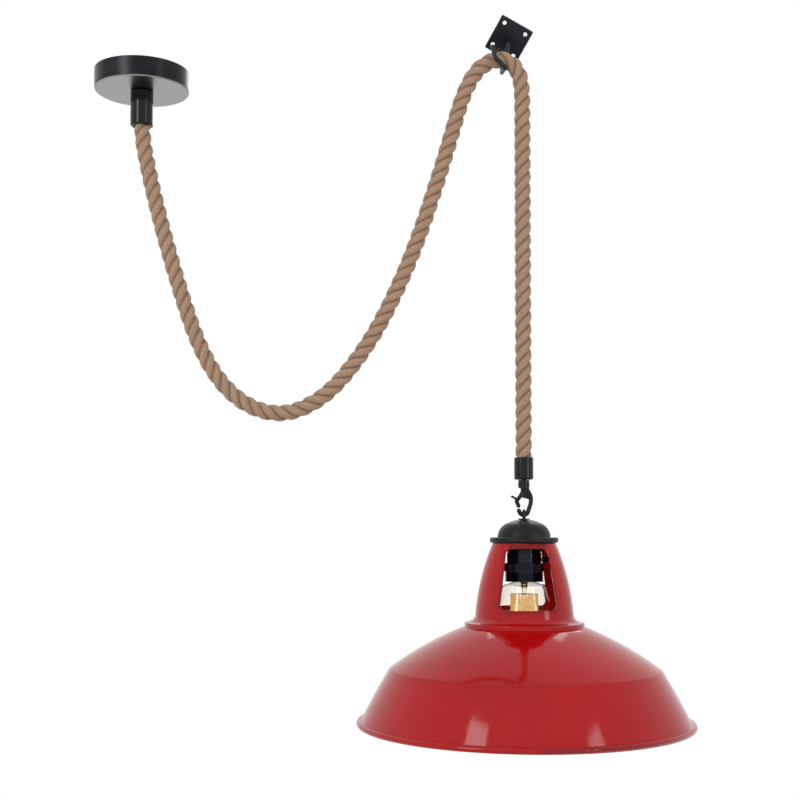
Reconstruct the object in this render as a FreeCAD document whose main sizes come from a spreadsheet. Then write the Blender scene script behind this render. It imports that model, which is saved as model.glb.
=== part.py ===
"""Rise and fall pendant: ceiling rose, swagged rope, ceiling hook and enamelled shade.

Millimetres, +Z up. The origin is the centre of the rose on the ceiling, and
everything hangs below it. The rope runs from the rose in a swag, over the
hook, and straight down to the shade, in the plane Y = 0.
"""
import FreeCAD, Part
import Sketcher
import math
import os
import re

Vector = FreeCAD.Vector
Y_AXIS = Vector(0, 1, 0)
Z_AXIS = Vector(0, 0, 1)

SIZES = [
    # clearances
    ("fitGap", 0.1, "radial gap of threads, pins and rods in their holes"),
    ("runGap", 0.3, "gap between pieces that move on each other"),
    ("ropeGap", 0.2, "radial gap of the rope in its sleeves"),
    # ceiling rose
    ("roseDiameter", 100, "outside of the cup"),
    ("roseHeight", 21, "ceiling to the underside of the cup"),
    ("roseWall", 1.5, "sheet of the cup"),
    ("roseEdge", 2, "rounding round the underside"),
    ("bracketSpacing", 70, "between the two ceiling screws"),
    ("bracketWidth", 18, "strap"),
    ("bracketThick", 2, "strap"),
    ("bracketDrop", 9, "ceiling to the underside of the raised web"),
    ("bracketWeb", 58, "length of the web"),
    ("bracketFoot", 15, "length of each foot"),
    ("slotLength", 10, "screw slots, end to end"),
    ("slotWidth", 4.5, "screw slots"),
    ("nippleDiameter", 10, "hollow threaded nipples"),
    ("nippleBore", 7, "wire way in the nipples"),
    ("nutFlats", 14, "nuts, across flats"),
    ("nutHeight", 3, "nuts"),
    ("stemDiameter", 24.2, "rope sleeve under the rose"),
    ("stemLength", 37.5, "rope sleeve under the rose"),
    ("stemThread", 8, "depth of the threaded top of the sleeve"),
    ("stemChamfer", 1.2, "both ends of the sleeve"),
    ("grubDiameter", 4, "grub screws that hold the rope"),
    ("blockLength", 15, "terminal block"),
    ("blockWidth", 16, "terminal block"),
    ("blockHeight", 8, "terminal block"),
    ("blockPlace", 19, "centre of the terminal block from the nipple"),
    ("terminalScrew", 2.6, "terminal screws"),
    ("earthPlace", 18, "earth screw from the nipple"),
    ("earthScrew", 4, "earth screw"),
    # rope
    ("ropeDiameter", 17.6, "outside of the lay"),
    ("pendantReach", 407.5, "rose centre to the hanging line"),
    ("dropTop", 38, "ceiling to the start of the straight drop"),
    ("dropLength", 393.2, "straight drop, down to the rope's end"),
    ("stemRopeTop", 31, "ceiling to the rope's end in the sleeve"),
    # ceiling hook
    ("plateSide", 39, "square plate"),
    ("plateThick", 2.6, "square plate"),
    ("plateCorner", 1.5, "rounding of the plate's corners"),
    ("plateHoles", 36.8, "circle of the four screw holes"),
    ("plateHole", 4.4, "screw holes"),
    ("plateSink", 7.2, "countersinks"),
    ("plateReach", 396.3, "rose centre to the plate, sideways"),
    ("plateBack", 32, "hanging line to the plate's back, away from the viewer"),
    ("plateHeight", 49, "ceiling to the middle of the plate's back, upwards"),
    ("plateYaw", -5, "degrees, the plate's turn about the vertical"),
    ("plateTilt", -54.5, "degrees, the plate's tilt from lying flat"),
    ("plateSpin", 30.3, "degrees, the plate's turn in its own plane"),
    ("hookBar", 4.7, "bar of the ceiling hook"),
    ("hookShank", 23.5, "plate's back to the ceiling hook's first bend"),
    ("hookLean", 2.3, "sideways lean of the hook's shank"),
    ("hookDepth", 13.5, "the rope's plane to the middle of each arm of the hook"),
    ("hookSeat", 2.75, "extra drop of the hook under the rope, which bends round it"),
    ("hookTip", 23, "ceiling to the tip of the hook's front arm, upwards"),
    ("hookCollar", 8, "shoulder of the hook against the plate"),
    ("hookCollarHeight", 1.6, "shoulder of the hook"),
    # rope end and swivel
    ("endGap", 0.3, "rope's end to the floor of the ferrule"),
    ("ferruleDiameter", 20.3, "rope end cup"),
    ("ferruleLength", 23.7, "rope end cup"),
    ("ferruleFloor", 5.7, "floor of the cup"),
    ("ferruleEdge", 2.2, "rounding of the cup's bottom"),
    ("studDiameter", 5, "swivel stud"),
    ("studHead", 8.4, "head of the swivel stud"),
    ("studHeadHeight", 2.3, "head of the swivel stud"),
    ("barrelDiameter", 11.8, "swivel barrel of the snap hook"),
    ("barrelLength", 8.4, "swivel barrel of the snap hook"),
    ("barrelTop", 2.5, "top wall of the barrel"),
    ("barrelRidge", 0.5, "ridge round the barrel"),
    # snap hook
    ("hookReach", 28, "barrel to the middle of the claw's lowest bar"),
    ("clawBar", 4.6, "bar of the claw"),
    ("clawHalf", 7.6, "middle of the bar from the axis, at its widest"),
    ("cradleHalf", 3.3, "half the flat bottom of the claw"),
    ("headThick", 5.8, "head of the snap hook, front to back"),
    ("gateThick", 3, "gate, front to back"),
    ("gatePinDiameter", 1.8, "pin of the gate"),
    ("gateHub", 2.4, "radius of the gate's hub"),
    ("gateWidth", 4, "arm of the gate"),
    ("leverWidth", 2.3, "thumb lever of the gate"),
    ("leverReach", 12.5, "axis to the tip of the thumb lever"),
    # shade cap
    ("eyeInner", 3.4, "inner radius of the cap's eye"),
    ("eyeBar", 3.2, "bar of the cap's eye"),
    ("eyeCollar", 11.6, "collar under the eye"),
    ("eyeCollarHeight", 0.9, "collar under the eye"),
    ("eyeShank", 8, "threaded shank of the eye"),
    ("eyeShankLength", 9, "threaded shank of the eye"),
    ("domeDiameter", 56, "cap, above its brim"),
    ("domeHeight", 19, "cap, above its brim"),
    ("domeWall", 1.6, "cap"),
    ("brimDiameter", 72, "brim of the cap"),
    ("brimHeight", 5.5, "brim of the cap"),
    ("couplerHeight", 14, "hexagon coupler inside the cap"),
    # shade
    ("neckTop", 67.2, "diameter of the neck under the brim"),
    ("neckHeight", 78, "neck, top to ledge"),
    ("neckFoot", 104, "diameter of the neck at its foot"),
    ("shadeWall", 1.4, "sheet of the shade"),
    ("ledgeDiameter", 126, "ledge under the neck"),
    ("stepDiameter", 136.5, "step under the ledge"),
    ("stepHeight", 6.5, "from the ledge down to the step"),
    ("neckFillet", 5.5, "rise of the hollow curve at the neck's foot"),
    ("creaseDiameter", 285, "crease between shoulder and skirt"),
    ("shoulderHeight", 42, "step down to the crease"),
    ("rimDiameter", 343.4, "skirt where it meets the rolled rim"),
    ("shoulderRadius", 356, "bulge of the shoulder's profile"),
    ("skirtHeight", 53, "crease down to the rolled rim"),
    ("skirtRadius", 742, "bulge of the skirt's profile"),
    ("beadDiameter", 6.2, "rolled rim"),
    ("windowTop", 42, "width of a neck window at its top"),
    ("windowFoot", 58.8, "width of a neck window at its foot"),
    ("windowHeight", 62.5, "neck windows"),
    ("windowDrop", 6.2, "neck's top to the windows"),
    ("windowCorner", 5.5, "rounding of the windows' corners"),
    # lampholder
    ("holderDrop", 4.6, "neck's top to the lampholder"),
    ("holderDiameter", 36.2, "lampholder cap"),
    ("holderHeight", 16.8, "lampholder cap"),
    ("holderWall", 1.8, "lampholder cap"),
    ("ringDiameter", 42, "knurled ring"),
    ("ringHeight", 9, "knurled ring"),
    ("knurlCount", 40, "flutes of the knurled ring"),
    ("knurlDepth", 0.7, "flutes of the knurled ring"),
    ("skirtDiameter", 40.7, "threaded skirt of the lampholder, over its thread"),
    ("skirtLength", 10.5, "threaded skirt of the lampholder"),
    ("threadPitch", 2.6, "rings of the skirt's thread"),
    ("threadDepth", 0.9, "rings of the skirt's thread"),
    ("sleeveBore", 27.2, "screw shell of the lampholder, inside"),
    ("sleeveWall", 0.6, "screw shell of the lampholder"),
    ("keyDiameter", 4, "shaft of the switch key"),
    ("keyReach", 27.9, "axis to the key's outer end"),
    ("keyHeight", 6.4, "key's paddle at its base"),
    ("keyThick", 3, "key's paddle"),
    # lamp bulb
    ("capDiameter", 26.2, "screw cap of the bulb, over its thread"),
    ("capLength", 17, "screw cap of the bulb"),
    ("glassWall", 0.8, "glass of the bulb"),
    ("glassDiameter", 64, "bulb at its widest"),
    ("glassLength", 122, "glass of the bulb"),
    ("shoulderDiameter", 48, "bulb just under the lampholder"),
    ("cageRadius", 14.5, "filament cage"),
    ("cageLegs", 14, "upright legs of the filament"),
    ("cageHeight", 62, "filament cage"),
    ("filamentWire", 0.9, "filament"),
    ("supportWire", 0.6, "support wires of the filament"),
]

# The rope's middle line from the sleeve to the straight drop, as X and Z.
ROPE_ROUTE = [
    (0, -31), (0, -67), (7, -103), (17, -146), (30.3, -195), (45.5, -245),
    (61, -290), (80, -326), (102, -350), (127, -364), (153, -367.5), (179, -359.5),
    (205, -341), (230, -311), (253.5, -275), (276, -229), (294, -185), (309, -141),
    (322, -100), (333, -63), (342.5, -29), (354, -4), (368, 10.5), (387, 15.5),
    (402, 5), (407.5, -14), (407.5, -38),
]

doc = FreeCAD.newDocument("rise_and_fall_pendant")
sheet = doc.addObject("Spreadsheet::Sheet", "Sizes")
for row, (alias, number, meaning) in enumerate(SIZES, start=1):
    sheet.set("A%d" % row, meaning)
    sheet.set("B%d" % row, str(number))
    sheet.setAlias("B%d" % row, alias)
doc.recompute()

NAMES = re.compile(r"\b(%s)\b" % "|".join(alias for alias, _, _ in SIZES))
nodes = {}


# ---------------------------------------------------------------- helpers

def bound(text):
    """An expression in sheet names, with the sheet's own name put before each."""
    return NAMES.sub(r"Sizes.\1", str(text))


def size(text):
    """The number that an expression in sheet names stands for, in millimetres."""
    return float(sheet.evalExpression(bound(text)))


def place(piece, x="0", y="0", z="0"):
    """Binds a piece's position to expressions."""
    for axis, text in (("x", x), ("y", y), ("z", z)):
        piece.setExpression("Placement.Base." + axis, bound(text))


def new_body(name):
    """A named PartDesign body that becomes one sub-part."""
    body = doc.addObject("PartDesign::Body", name)
    body.Label = name
    nodes[name] = body
    return body


def new_sketch(body, role, height="0"):
    """A sketch on one of the body's own origin planes, lifted along its normal."""
    plane = [item for item in body.Origin.OriginFeatures if item.Role == role][0]
    sketch = body.newObject("Sketcher::SketchObject", body.Name + "_sketch")
    sketch.AttachmentSupport = [(plane, "")]
    sketch.MapMode = "FlatFace"
    sketch.setExpression("AttachmentOffset.Base.z", bound(height))
    return sketch


def pin_point(sketch, curve, end, x, y):
    """Ties one end of a curve to two expressions."""
    for kind, text in (("DistanceX", x), ("DistanceY", y)):
        if abs(size(text)) < 1e-9:
            axis = -2 if kind == "DistanceX" else -1
            sketch.addConstraint(Sketcher.Constraint("PointOnObject", curve, end, axis))
            continue
        number = sketch.addConstraint(Sketcher.Constraint(kind, -1, 1, curve, end, size(text)))
        sketch.setExpression("Constraints[%d]" % number, bound(text))


def arc_between(start, end, radius):
    """An arc from start to end; a positive radius turns left, a negative one right."""
    chord = end - start
    half = chord.Length / 2
    away = math.sqrt(max(radius * radius - half * half, 0))
    left = Vector(-chord.y, chord.x, 0).normalize()
    side = 1 if radius > 0 else -1
    centre = (start + end) * 0.5 + left * (away * side)
    first, last = (start, end) if radius > 0 else (end, start)
    circle = Part.Circle(centre, Z_AXIS, abs(radius))
    angles = [math.atan2(p.y - centre.y, p.x - centre.x) for p in (first, last)]
    if angles[1] < angles[0]:
        angles[1] += 2 * math.pi
    return Part.ArcOfCircle(circle, angles[0], angles[1])


def draw(sketch, outline):
    """Closes an outline of (x, y) points; a third value bends the side that follows."""
    ends = []
    count = len(outline)
    points = [Vector(size(p[0]), size(p[1]), 0) for p in outline]
    for i, corner in enumerate(outline):
        start, end = points[i], points[(i + 1) % count]
        if len(corner) == 2:
            curve = sketch.addGeometry(Part.LineSegment(start, end), False)
            ends.append((curve, 1, 2))
            continue
        radius = size(corner[2])
        curve = sketch.addGeometry(arc_between(start, end, radius), False)
        ends.append((curve, 1, 2) if radius > 0 else (curve, 2, 1))
        bend = "abs(%s)" % corner[2]
        number = sketch.addConstraint(Sketcher.Constraint("Radius", curve, abs(radius)))
        sketch.setExpression("Constraints[%d]" % number, bound(bend))
    for i, (curve, first, last) in enumerate(ends):
        following, start_end, _ = ends[(i + 1) % count]
        sketch.addConstraint(Sketcher.Constraint("Coincident", curve, last, following, start_end))
        pin_point(sketch, curve, first, outline[i][0], outline[i][1])


def turned(name, outline):
    """A piece of revolution about its own Z axis, from its half outline in r and z."""
    body = new_body(name)
    sketch = new_sketch(body, "XZ_Plane")
    draw(sketch, outline)
    turn = body.newObject("PartDesign::Revolution", name + "_turn")
    turn.Profile = sketch
    turn.ReferenceAxis = (sketch, ["V_Axis"])
    turn.Angle = 360
    body.Tip = turn
    return body


def padded(name, role, outline, thick, midplane=True, height="0"):
    """A plate of one outline."""
    body = new_body(name)
    sketch = new_sketch(body, role, height)
    draw(sketch, outline)
    pad = body.newObject("PartDesign::Pad", name + "_pad")
    pad.Profile = sketch
    pad.setExpression("Length", bound(thick))
    pad.Midplane = midplane
    body.Tip = pad
    return body


def hexagon(name, flats, bore, top, height):
    """A hexagon nut that hangs down from the height top."""
    body = new_body(name)
    sketch = new_sketch(body, "XY_Plane", "%s - (%s)" % (top, height))
    corners = [("(%s) / sqrt(3) * cos(%d deg)" % (flats, 60 * i),
                "(%s) / sqrt(3) * sin(%d deg)" % (flats, 60 * i)) for i in range(6)]
    draw(sketch, corners)
    hole = sketch.addGeometry(Part.Circle(Vector(), Z_AXIS, size(bore) / 2), False)
    sketch.addConstraint(Sketcher.Constraint("Coincident", hole, 3, -1, 1))
    number = sketch.addConstraint(Sketcher.Constraint("Diameter", hole, size(bore)))
    sketch.setExpression("Constraints[%d]" % number, bound(bore))
    pad = body.newObject("PartDesign::Pad", name + "_pad")
    pad.Profile = sketch
    pad.setExpression("Length", bound(height))
    body.Tip = pad
    return body


def pocket(body, role, height, outlines, depth, reverse=False, both=False):
    """Cuts outlines out of a body and checks that they took something away."""
    doc.recompute()
    before = body.Shape.Volume
    sketch = new_sketch(body, role, height)
    for outline in outlines:
        draw(sketch, outline)
    cut = body.newObject("PartDesign::Pocket", body.Name + "_cut")
    cut.Profile = sketch
    cut.setExpression("Length", bound(depth))
    cut.Midplane = both
    cut.Reversed = reverse
    body.Tip = cut
    doc.recompute()
    if body.Shape.Volume >= before:
        raise RuntimeError(body.Name + ": a pocket cut nothing")
    return cut


def primitive(kind, name, angle=0, axis=Z_AXIS, **sizes):
    """A Part primitive with its sizes bound to the sheet."""
    piece = doc.addObject("Part::" + kind, name)
    for key, text in sizes.items():
        piece.setExpression(key, bound(text))
    piece.Placement = FreeCAD.Placement(Vector(), FreeCAD.Rotation(axis, angle))
    return piece


def joined(name, kind, base, tools):
    """Fuses tools to a base or cuts them out of it, as one named sub-part."""
    result = base
    for number, tool in enumerate(tools):
        step = doc.addObject("Part::" + kind, "%s_%s%d" % (name, kind.lower(), number))
        step.Base = result
        step.Tool = tool
        result = step
    result.Label = name
    nodes[name] = result
    return result


def free_shape(name, shape):
    """A sub-part whose shape is made here."""
    piece = doc.addObject("Part::Feature", name)
    piece.Shape = shape
    piece.Label = name
    nodes[name] = piece
    return piece


def rounded_path(points, shares=None):
    """Straight runs joined by tangent arcs; gives the wire and the arcs' radii."""
    edges, radii = [], []
    here = points[0]
    for i in range(1, len(points) - 1):
        before, corner, after = points[i - 1], points[i], points[i + 1]
        back = (before - corner).normalize()
        ahead = (after - corner).normalize()
        shorter = min((before - corner).Length, (after - corner).Length)
        reach = (shares[i - 1] if shares else 0.45) * shorter
        half_turn = (math.pi - back.getAngle(ahead)) / 2
        radius = reach / math.tan(half_turn)
        start, end = corner + back * reach, corner + ahead * reach
        inward = (back + ahead).normalize()
        middle = corner + inward * (radius / math.cos(half_turn) - radius)
        edges.append(Part.LineSegment(here, start).toShape())
        edges.append(Part.Arc(start, middle, end).toShape())
        radii.append(radius)
        here = end
    edges.append(Part.LineSegment(here, points[-1]).toShape())
    return Part.Wire(edges), radii


def tube(points, diameter, shares=None):
    """A round bar or rope along rounded_path, with its path and radii."""
    path, radii = rounded_path(points, shares)
    start = (points[1] - points[0]).normalize()
    ring = Part.Wire(Part.Circle(points[0], start, diameter / 2).toShape())
    shape = path.makePipeShell([ring], True, False)
    expected = math.pi * diameter ** 2 / 4 * path.Length
    if abs(shape.Volume / expected - 1) > 0.01:
        raise RuntimeError("tube volume is not its section times its length")
    return shape, path, radii


def drilled(shape, centre, direction, diameter, depth):
    """Cuts a round hole into a shape."""
    return shape.cut(Part.makeCylinder(diameter / 2, depth, centre, direction))


# ---------------------------------------------------------------- ceiling rose

def rose_bracket():
    """Hat-shaped strap screwed to the ceiling through two slots."""
    web, foot = "bracketWeb / 2", "bracketWeb / 2 + bracketFoot"
    under, thick = "-bracketDrop", "bracketThick"
    outline = [("-(%s)" % foot, "0"), ("-(%s) + bracketThick" % web, "0"),
               ("-(%s) + bracketThick" % web, under + " + " + thick),
               (web + " - bracketThick", under + " + " + thick),
               (web + " - bracketThick", "0"), (foot, "0"), (foot, "-" + thick), (web, "-" + thick),
               (web, under), ("-(%s)" % web, under), ("-(%s)" % web, "-" + thick),
               ("-(%s)" % foot, "-" + thick)]
    body = padded("rose_bracket", "XZ_Plane", outline, "bracketWidth")
    slots = []
    for side in ("-1", "1"):
        near = "%s * bracketSpacing / 2 - slotLength / 2 + slotWidth / 2" % side
        far = "%s * bracketSpacing / 2 + slotLength / 2 - slotWidth / 2" % side
        slots.append([(near, "-slotWidth / 2"), (far, "-slotWidth / 2", "slotWidth / 2 + 0.0001"),
                      (far, "slotWidth / 2"), (near, "slotWidth / 2", "slotWidth / 2 + 0.0001")])
    pocket(body, "XY_Plane", "0", slots, "bracketThick * 2", both=True)
    for place_x, across in (("0", "nippleDiameter + 2 * fitGap"), ("-earthPlace", "earthScrew + 2 * fitGap")):
        round_hole(body, place_x, across)


def round_hole(body, x, across):
    """A round hole through the bracket's web."""
    half = "(%s) / 2" % across
    hole = [("%s - %s" % (x, half), "0", half + " + 0.0001"),
            ("%s + %s" % (x, half), "0", half + " + 0.0001")]
    pocket(body, "XY_Plane", "-bracketDrop", [hole], "bracketThick * 3", both=True)


def rose_cup():
    """Spun cup that covers the bracket, held up by the sleeve."""
    radius, floor = "roseDiameter / 2", "-roseHeight"
    hole = "nippleDiameter / 2 + fitGap"
    turned("rose_cup", [
        (radius, "0"), (radius, floor + " + roseEdge", "-roseEdge"),
        (radius + " - roseEdge", floor), (hole, floor), (hole, floor + " + roseWall"),
        (radius + " - roseWall", floor + " + roseWall"), (radius + " - roseWall", "0")])


def rose_fixings():
    """Hollow nipple through the web, with a nut on each side."""
    inner, outer = "nippleBore / 2", "nippleDiameter / 2"
    top, end = "-bracketDrop + bracketThick + nutHeight + 0.5", "-roseHeight - stemThread + 1.5"
    turned("rose_nipple", [(outer, top), (outer, end), (inner, end), (inner, top)])
    bore = "nippleDiameter + 2 * fitGap"
    hexagon("nipple_nut", "nutFlats", bore, "-bracketDrop + bracketThick + nutHeight", "nutHeight")
    hexagon("nipple_locknut", "nutFlats", bore, "-bracketDrop", "nutHeight")


def stem():
    """Sleeve under the rose that the rope hangs in, with its grub screw."""
    outer, thread = "stemDiameter / 2", "nippleDiameter / 2 + fitGap"
    bore, edge = "ropeDiameter / 2 + ropeGap", "stemChamfer"
    top, foot = "-roseHeight", "-roseHeight - stemLength"
    body = turned("stem", [
        (outer + " - " + edge, top), (outer, top + " - " + edge), (outer, foot + " + " + edge),
        (outer + " - " + edge, foot), (bore, foot), (bore, top + " - stemThread"),
        (thread, top + " - stemThread"), (thread, top)])
    side_screw(body, "stem_screw", outer, bore, top + " - stemLength * 0.55")


def side_screw(body, name, outer, bore, height):
    """A grub screw through the back of a sleeve, flush with its outside."""
    half = "(grubDiameter / 2 + fitGap)"
    hole = [("-" + half, height, half + " + 0.0001"), (half, height, half + " + 0.0001")]
    pocket(body, "XZ_Plane", "0", [hole], "stemDiameter")
    length = "%s - 0.3 - (%s) + ropeGap / 2" % (outer, bore)
    screw = primitive("Cylinder", name + "_rod", 0, Radius="grubDiameter / 2", Height=length)
    socket = primitive("Cylinder", name + "_socket", 0, Radius="grubDiameter / 4", Height="1.2")
    for item, depth in ((screw, length), (socket, "1.2")):
        item.Placement.Rotation = FreeCAD.Rotation(Vector(1, 0, 0), 90)
        item.setExpression("Placement.Base.y", bound("%s - 0.3" % outer))
        item.setExpression("Placement.Base.x", bound("pendantReach" if name != "stem_screw" else "0"))
        lift = height if name == "stem_screw" else "-dropTop - dropLength + " + height
        item.setExpression("Placement.Base.z", bound(lift))
    joined(name, "Cut", screw, [socket])


def terminals():
    """Terminal block under the web, its screws, and the earth screw."""
    block = primitive("Box", "block", Length="blockLength", Width="blockWidth", Height="blockHeight")
    place(block, "blockPlace - blockLength / 2", "-blockWidth / 2", "-bracketDrop - blockHeight")
    bores, count = [], 3
    for i in range(count):
        across = "(%d) * blockWidth / 3.4" % (i - 1)
        bore = primitive("Cylinder", "terminal_bore_%d" % i, Radius="terminalScrew / 2 + fitGap",
                         Height="blockHeight / 2")
        place(bore, "blockPlace", across, "-bracketDrop - blockHeight")
        bores.append(bore)
        screw = primitive("Cylinder", "terminal_screw_%d" % (i + 1), Radius="terminalScrew / 2",
                          Height="blockHeight / 2 - 0.8")
        place(screw, "blockPlace", across, "-bracketDrop - blockHeight + 0.8")
        nodes[screw.Name] = screw
    joined("terminal_block", "Cut", block, bores)
    head, shank = "earthScrew", "earthScrew / 2"
    screw = turned("earth_screw", [
        ("0", "-bracketDrop + bracketThick + 2"), (shank, "-bracketDrop + bracketThick + 2"),
        (shank, "-bracketDrop"), (head, "-bracketDrop"), (head, "-bracketDrop - 2"),
        ("0", "-bracketDrop - 2")])
    place(screw, "-earthPlace")


# ---------------------------------------------------------------- ceiling hook

def plate_rotation():
    """The plate's turn: spin in its plane, tilt, then yaw."""
    spin = FreeCAD.Rotation(Z_AXIS, size("plateSpin"))
    tilt = FreeCAD.Rotation(Vector(1, 0, 0), size("plateTilt"))
    yaw = FreeCAD.Rotation(Z_AXIS, size("plateYaw"))
    return yaw.multiply(tilt).multiply(spin)


def plate_middle():
    """The middle of the plate's back."""
    return Vector(size("plateReach"), size("plateBack"), size("plateHeight"))


def hook_plate():
    """Square plate with four countersunk holes, lying on its back face."""
    side, thick = size("plateSide"), size("plateThick")
    plate = Part.makeBox(side, side, thick, Vector(-side / 2, -side / 2, -thick))
    uprights = [edge for edge in plate.Edges if abs(edge.tangentAt(edge.FirstParameter).z) > 0.9]
    plate = plate.makeFillet(size("plateCorner"), uprights)
    rim = [edge for edge in plate.Edges if edge.BoundBox.ZMax < -thick + 0.01]
    plate = plate.makeChamfer(min(0.4, thick / 4), rim)
    reach = size("plateHoles") / 2
    sink, hole = size("plateSink") / 2, size("plateHole") / 2
    for i in range(4):
        angle = math.radians(45 + 90 * i)
        spot = Vector(reach * math.cos(angle), reach * math.sin(angle), -thick)
        plate = drilled(plate, spot, Z_AXIS, 2 * hole, thick)
        depth = min(sink - hole, 0.6 * thick)
        plate = plate.cut(Part.makeCone(hole + depth, hole, depth, spot, Z_AXIS))
    plate = drilled(plate, Vector(0, 0, -thick), Z_AXIS, size("hookBar + 2 * fitGap"), thick)
    free_shape("hook_plate", plate).Placement = FreeCAD.Placement(plate_middle(), plate_rotation())


def plate_hook():
    """J of round bar: out of the plate, down behind the rope, under it and up in front."""
    bar, middle = size("hookBar"), plate_middle()
    out = plate_rotation().multVec(Vector(0, 0, -1))
    clear = size("ropeDiameter") / 2 + bar / 2
    crest, depth = ROPE_ROUTE[23][0], size("hookDepth")
    low = ROPE_ROUTE[23][1] - clear - size("hookSeat")
    shank = middle + out * size("hookShank")
    shank.x = middle.x - size("hookLean")
    points = [
        middle, shank, Vector(crest - 2, depth, low), Vector(crest + 1.6, -depth, low - 0.4),
        Vector(crest - 9.5, -depth, low + 9), Vector(crest - 11.8, 0.5 - depth, size("hookTip"))]
    shape, path, radii = tube(points, bar, [0.3, 0.42, 0.45, 0.45])
    shape = shape.fuse(Part.makeSphere(bar / 2, points[-1]))
    face = middle + out * size("plateThick")
    shape = shape.fuse(Part.makeCylinder(size("hookCollar") / 2, size("hookCollarHeight"), face, out))
    free_shape("plate_hook", shape)
    print("ceiling hook radii", " ".join("%.1f" % radius for radius in radii))


# ---------------------------------------------------------------- rope

def rope_points():
    """The route with its two fixed ends taken from the sheet."""
    points = [Vector(x, 0, z) for x, z in ROPE_ROUTE]
    points[0].z = -size("stemRopeTop")
    for point in points[-2:]:
        point.x = size("pendantReach")
    points[-1].z = -size("dropTop")
    return points


def rope_swag():
    """The hanging swag, from the sleeve to just past the hook."""
    shape, path, radii = tube(rope_points(), size("ropeDiameter"))
    free_shape("rope_swag", shape)
    print("rope radii", " ".join("%.1f" % radius for radius in radii))
    print("rope length %.1f mm" % (path.Length + size("dropLength")))


def rope_drop():
    """The straight drop that carries the shade."""
    drop = primitive("Cylinder", "rope_drop", Radius="ropeDiameter / 2", Height="dropLength")
    place(drop, "pendantReach", "0", "-dropTop - dropLength")
    nodes["rope_drop"] = drop


# ---------------------------------------------------------------- rope end and snap hook

ROPE_END = "-dropTop - dropLength"
FERRULE_FOOT = "-endGap - ferruleFloor"
BARREL_TOP = FERRULE_FOOT + " - runGap"
BARREL_FOOT = BARREL_TOP + " - barrelLength"


def hang(piece, drop="0"):
    """Places a piece on the hanging line, with its zero at the rope's end."""
    place(piece, "pendantReach", "0", ROPE_END + " + " + drop)


def ferrule():
    """Cup on the rope's end, with its grub screw."""
    outer, bore = "ferruleDiameter / 2", "ropeDiameter / 2 + ropeGap"
    top, thread = FERRULE_FOOT + " + ferruleLength", "studDiameter / 2 + 0.5 + fitGap"
    body = turned("ferrule", [
        (bore, top), (bore, "-endGap"), (thread, "-endGap"), (thread, FERRULE_FOOT),
        (outer + " - ferruleEdge", FERRULE_FOOT, "ferruleEdge"),
        (outer, FERRULE_FOOT + " + ferruleEdge"), (outer, top + " - 0.6"), (outer + " - 0.6", top)])
    side_screw(body, "ferrule_screw", outer, bore, "ferruleLength * 0.35")
    hang(body)


def swivel_stud():
    """Threaded into the ferrule's floor; its head carries the snap hook."""
    neck, thread, head = "studDiameter / 2", "studDiameter / 2 + 0.5", "studHead / 2"
    top, seat = "-endGap - 0.5", BARREL_TOP + " - barrelTop - runGap"
    stud = turned("swivel_stud", [
        ("0", top), (thread, top), (thread, FERRULE_FOOT), (neck, FERRULE_FOOT), (neck, seat),
        (head, seat), (head, seat + " - studHeadHeight"), ("0", seat + " - studHeadHeight")])
    hang(stud)


def claw_points():
    """The bar's middle line, from the head round the bottom to the nose, about the hanging line."""
    half, low = size("clawHalf"), size("hookReach")
    cradle = size("cradleHalf")
    return [Vector(0.45 * half, 0, -0.13 * low), Vector(half, 0, -0.33 * low),
            Vector(0.97 * half, 0, -0.57 * low), Vector(0.66 * half, 0, -0.81 * low),
            Vector(cradle, 0, -low), Vector(-cradle, 0, -low), Vector(-0.7 * half, 0, -0.85 * low)]


def gate_pivot():
    """Middle of the gate's pin, from the barrel's foot."""
    return Vector(-0.33 * size("clawHalf"), 0, -0.236 * size("hookReach"))


def flat_shape(points, thick):
    """A plate in the XZ plane, centred on it, from its corner points."""
    corners = [Vector(x, -thick / 2, z) for x, z in points]
    return Part.Face(Part.makePolygon(corners + corners[:1])).extrude(Vector(0, thick, 0))


def bar_between(start, end, radius, thick):
    """A flat link with round ends, front to back thick."""
    along = (end - start).normalize()
    side = Vector(-along.z, 0, along.x) * radius
    corners = [start + side, end + side, end - side, start - side]
    link = flat_shape([(p.x, p.z) for p in corners], thick)
    for spot in (start, end):
        link = link.fuse(Part.makeCylinder(radius, thick, spot - Y_AXIS * (thick / 2), Y_AXIS))
    return link.removeSplitter()


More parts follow.
